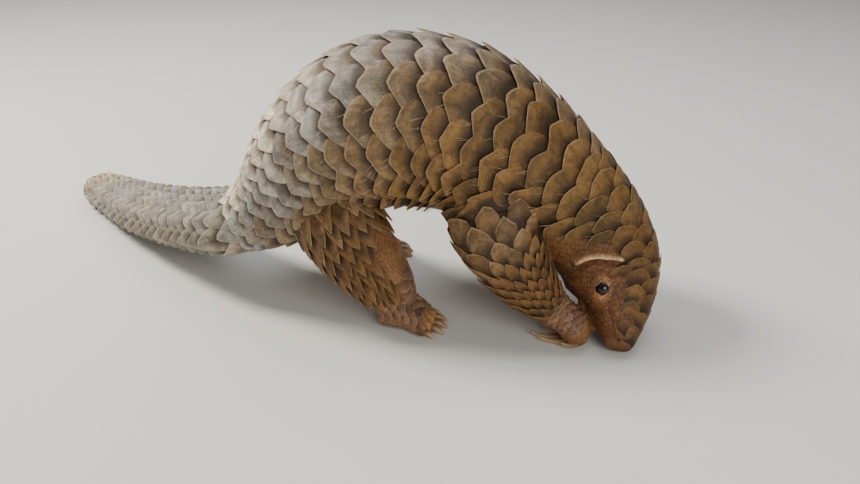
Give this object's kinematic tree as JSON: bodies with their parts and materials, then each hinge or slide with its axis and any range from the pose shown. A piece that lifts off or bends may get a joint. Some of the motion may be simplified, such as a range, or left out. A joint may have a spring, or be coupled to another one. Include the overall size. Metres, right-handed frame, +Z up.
{
  "type": "pangolin",
  "caption": "Life-size still pangolin walking with its nose to the ground, arched back, tail trailing, covered in overlapping scales.",
  "frame": {"origin": "middle of the box at floor level, under the arched trunk", "axes": "+X the way the trunk faces, +Y the animal's left, +Z up; the tail runs back and to the left, the head bends down and to the right"},
  "size_m": [0.6522, 0.3706, 0.2618],
  "materials": {
    "body_scales": "worn horn scales, grey-brown to olive, satin",
    "tail_scales": "dusty grey horn scales, matt",
    "leg_scales": "small ochre-brown horn scales, satin",
    "face_skin": "bare granular skin, dry",
    "ear_skin": "pale bare skin, dry",
    "foot_skin": "plated and granular skin, dry",
    "belly_skin": "bare wrinkled skin with sparse hair, matt",
    "bristles": "stiff pale bristles",
    "claw_horn": "worn horn",
    "eye": "wet gloss"
  },
  "bodies": {
    "root": {"rump": "body_scales", "loin": "body_scales", "chest": "body_scales", "shoulders": "body_scales", "neck": "body_scales", "head": "body_scales", "snout": "face_skin", "tail_1": "tail_scales", "tail_2": "tail_scales", "tail_3": "tail_scales", "tail_4": "tail_scales", "right_thigh": "leg_scales", "right_shank": "leg_scales", "right_upper_arm": "leg_scales", "right_forearm": "leg_scales", "right_hind_foot": "foot_skin", "right_fore_foot": "foot_skin", "right_hind_claw_1": "claw_horn", "right_hind_claw_2": "claw_horn", "right_hind_claw_3": "claw_horn", "right_hind_claw_4": "claw_horn", "right_hind_claw_5": "claw_horn", "right_fore_claw_1": "claw_horn", "right_fore_claw_2": "claw_horn", "right_fore_claw_3": "claw_horn", "right_fore_claw_4": "claw_horn", "right_fore_claw_5": "claw_horn", "right_ear": "ear_skin", "right_eye": "eye", "left_thigh": "leg_scales", "left_shank": "leg_scales", "left_upper_arm": "leg_scales", "left_forearm": "leg_scales", "left_hind_foot": "foot_skin", "left_fore_foot": "foot_skin", "left_hind_claw_1": "claw_horn", "left_hind_claw_2": "claw_horn", "left_hind_claw_3": "claw_horn", "left_hind_claw_4": "claw_horn", "left_hind_claw_5": "claw_horn", "left_fore_claw_1": "claw_horn", "left_fore_claw_2": "claw_horn", "left_fore_claw_3": "claw_horn", "left_fore_claw_4": "claw_horn", "left_fore_claw_5": "claw_horn", "left_ear": "ear_skin", "left_eye": "eye"}
  },
  "joints": []
}
